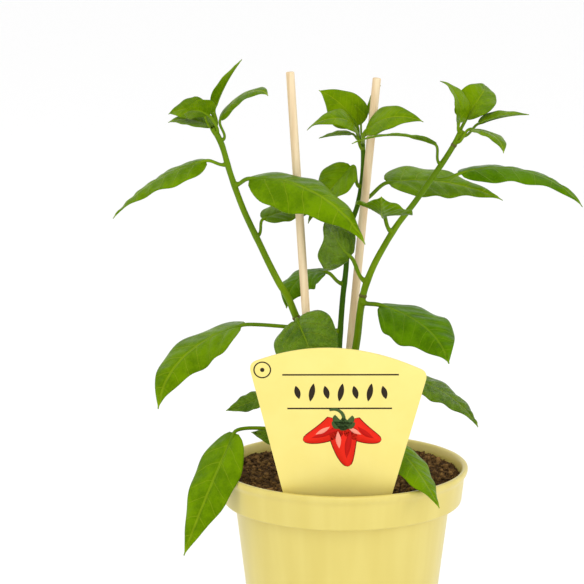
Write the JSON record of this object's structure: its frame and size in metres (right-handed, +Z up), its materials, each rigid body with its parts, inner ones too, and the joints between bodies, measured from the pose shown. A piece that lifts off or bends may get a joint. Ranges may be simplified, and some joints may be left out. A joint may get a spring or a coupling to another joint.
{
  "type": "potted chilli pepper plant",
  "caption": "Young chilli pepper plant with slim green stems and pointed leaves in a round pale-yellow plastic nursery pot, held by round wooden stakes, with a fan-shaped plant label.",
  "frame": {"origin": "middle of the pot's underside, on the surface the pot stands on", "axes": "+Z up along the pot's axis; -Y is the side the label faces; +X is to the right as seen from the label's side"},
  "size_m": [0.2181, 0.12, 0.3006],
  "materials": {
    "pot": "thin moulded plastic, satin, pale yellow",
    "soil": "rough crumbly brown potting soil",
    "label": "smooth satin plastic card, pale yellow",
    "stake_wood": "plain unfinished pale wood",
    "stem": "smooth satin green stem",
    "leaf": "satin green leaf with pale veins"
  },
  "bodies": {
    "root": {"pot": "pot", "soil": "soil", "label": "label", "stake_left": "stake_wood", "stake_right": "stake_wood", "trunk": "stem", "left_stem": "stem", "middle_stem": "stem", "right_stem": "stem", "leaf_left_tip_upright": "leaf", "leaf_left_tip_right": "leaf", "leaf_left_tip_front": "leaf", "leaf_left_tip_back": "leaf", "leaf_left_tip_low": "leaf", "leaf_left_tip_bud": "leaf", "leaf_left_outer": "leaf", "leaf_left_inner": "leaf", "leaf_left_rear": "leaf", "leaf_left_heart": "leaf", "leaf_middle_low": "leaf", "leaf_middle_left": "leaf", "leaf_middle_right": "leaf", "leaf_middle_long_stalk": "leaf", "leaf_middle_tip_back": "leaf", "leaf_middle_tip_left": "leaf", "leaf_middle_tip_under": "leaf", "leaf_middle_tip_right": "leaf", "leaf_middle_tip_up": "leaf", "leaf_middle_tip_bud": "leaf", "leaf_right_cross": "leaf", "leaf_right_outer": "leaf", "leaf_right_fork": "leaf", "leaf_right_centre": "leaf", "leaf_right_low": "leaf", "leaf_right_tip_fold": "leaf", "leaf_right_tip_round": "leaf", "leaf_right_tip_thin": "leaf", "leaf_right_tip_low": "leaf", "leaf_right_tip_bud": "leaf", "leaf_rear_left": "leaf", "leaf_rear_right": "leaf", "leaf_hanging_left": "leaf", "leaf_hanging_right": "leaf", "leaf_low_left": "leaf"}
  },
  "joints": []
}
